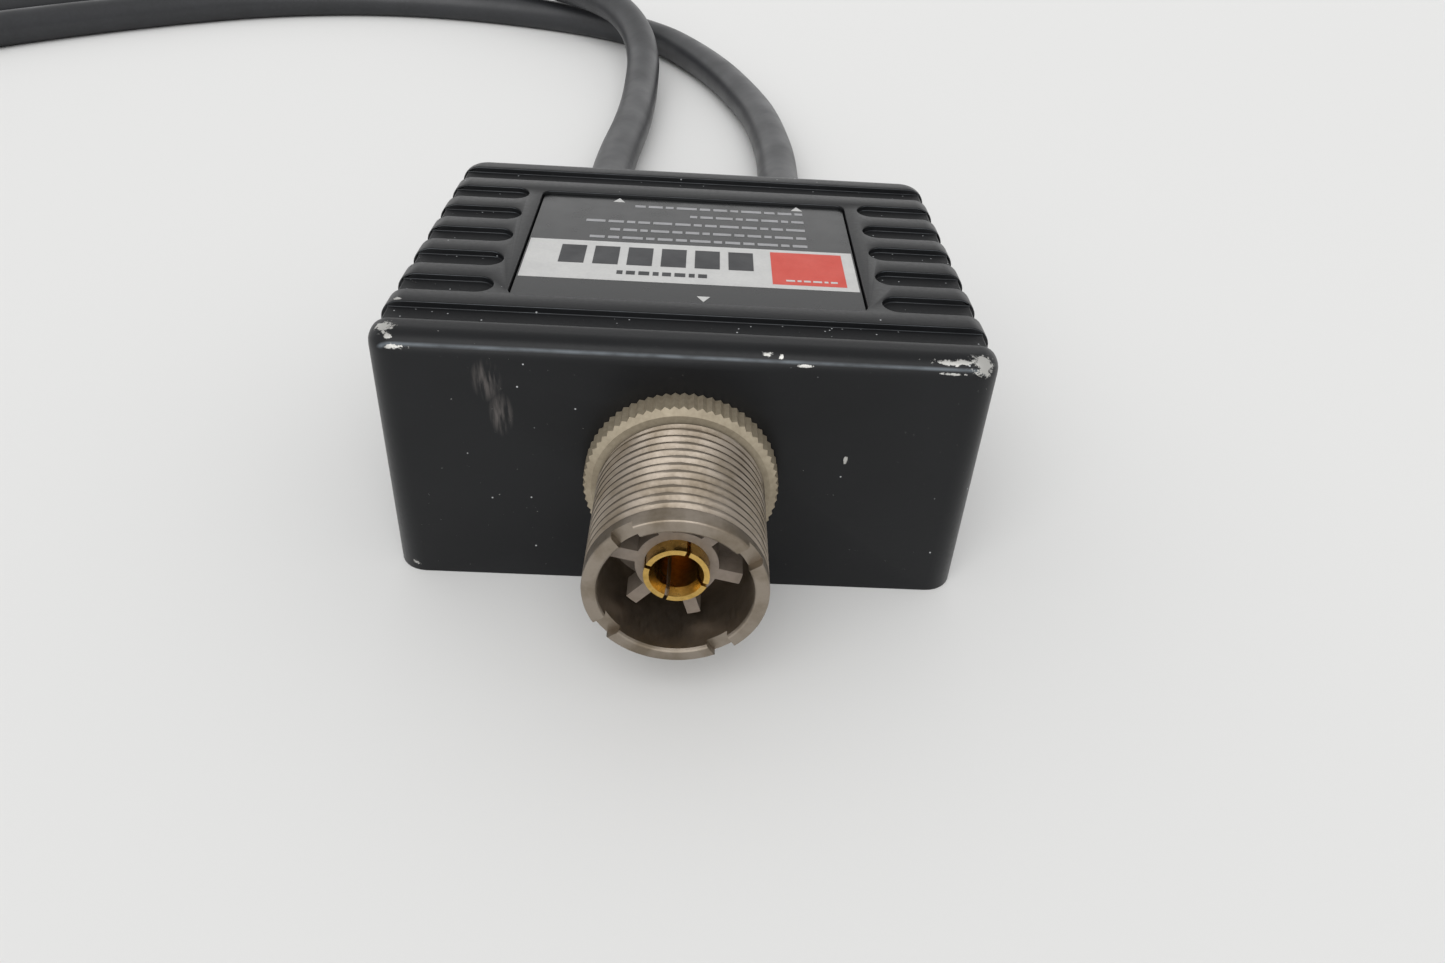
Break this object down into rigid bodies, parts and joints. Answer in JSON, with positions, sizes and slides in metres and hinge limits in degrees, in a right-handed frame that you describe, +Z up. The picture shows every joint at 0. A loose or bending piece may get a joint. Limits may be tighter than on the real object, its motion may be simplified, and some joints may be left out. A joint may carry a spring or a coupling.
{
  "type": "rf duplexer",
  "caption": "Antenna duplexer: a ribbed black metal box with a threaded socket at the front and coaxial pigtails at the back that end in screw-on plugs.",
  "frame": {"origin": "centre of the housing's footprint, on the surface that it stands on", "axes": "-Y out of the socket, +Y out of the cable exits, +Z up"},
  "size_m": [0.2601, 0.2631, 0.0275],
  "materials": {
    "housing_paint": "satin black powder paint on die-cast aluminium",
    "label_print": null,
    "cover_steel": "plain zinc-plated sheet",
    "screw_steel": "zinc-plated",
    "port_nickel": "worn dull nickel plate",
    "ring_nickel": "worn dull nickel plate, knurled",
    "insulator_plastic": "moulded grey-brown plastic",
    "contact_gold": "gold plate",
    "copper": "bare copper",
    "board": "glass-fibre board",
    "ceramic": "glazed ceramic",
    "grommet_rubber": "matt",
    "cable_jacket": "satin",
    "plug_nickel": "nickel plate",
    "plug_plastic": "moulded"
  },
  "bodies": {
    "duplexer": {"housing": "housing_paint", "label_plate": "label_print", "bottom_cover": "cover_steel", "cover_screw_1": "screw_steel", "cover_screw_2": "screw_steel", "cover_screw_3": "screw_steel", "cover_screw_4": "screw_steel", "port_shell": "port_nickel", "port_ring": "ring_nickel", "port_nut": "port_nickel", "port_lug": "port_nickel", "port_insulator": "insulator_plastic", "port_contact": "contact_gold", "feed_strap": "copper", "filter_board": "board", "lowpass_coils": "copper", "lowpass_capacitors": "ceramic", "highpass_coils": "copper", "highpass_capacitors": "ceramic", "low_entry": "cable_jacket", "high_entry": "cable_jacket", "low_clamp": "cover_steel", "high_clamp": "cover_steel", "low_grommet": "grommet_rubber", "high_grommet": "grommet_rubber", "low_cable": "cable_jacket", "high_cable": "cable_jacket", "low_plug_body": "plug_nickel", "low_plug_insulator": "plug_plastic", "low_plug_pin": "plug_nickel", "high_plug_body": "plug_nickel", "high_plug_insulator": "plug_plastic", "high_plug_pin": "plug_nickel"},
    "low_ring": {"low_plug_ring": "plug_nickel"},
    "high_ring": {"high_plug_ring": "plug_nickel"}
  },
  "joints": [
    {"name": "low_ring_turn", "type": "hinge", "parent": "duplexer", "child": "low_ring", "pos_m": [-0.222, 0.06, 0.0091], "axis": [0, -1, 0], "continuous": true},
    {"name": "high_ring_turn", "type": "hinge", "parent": "duplexer", "child": "high_ring", "pos_m": [-0.19, 0.056, 0.0091], "axis": [0, -1, 0], "continuous": true}
  ]
}
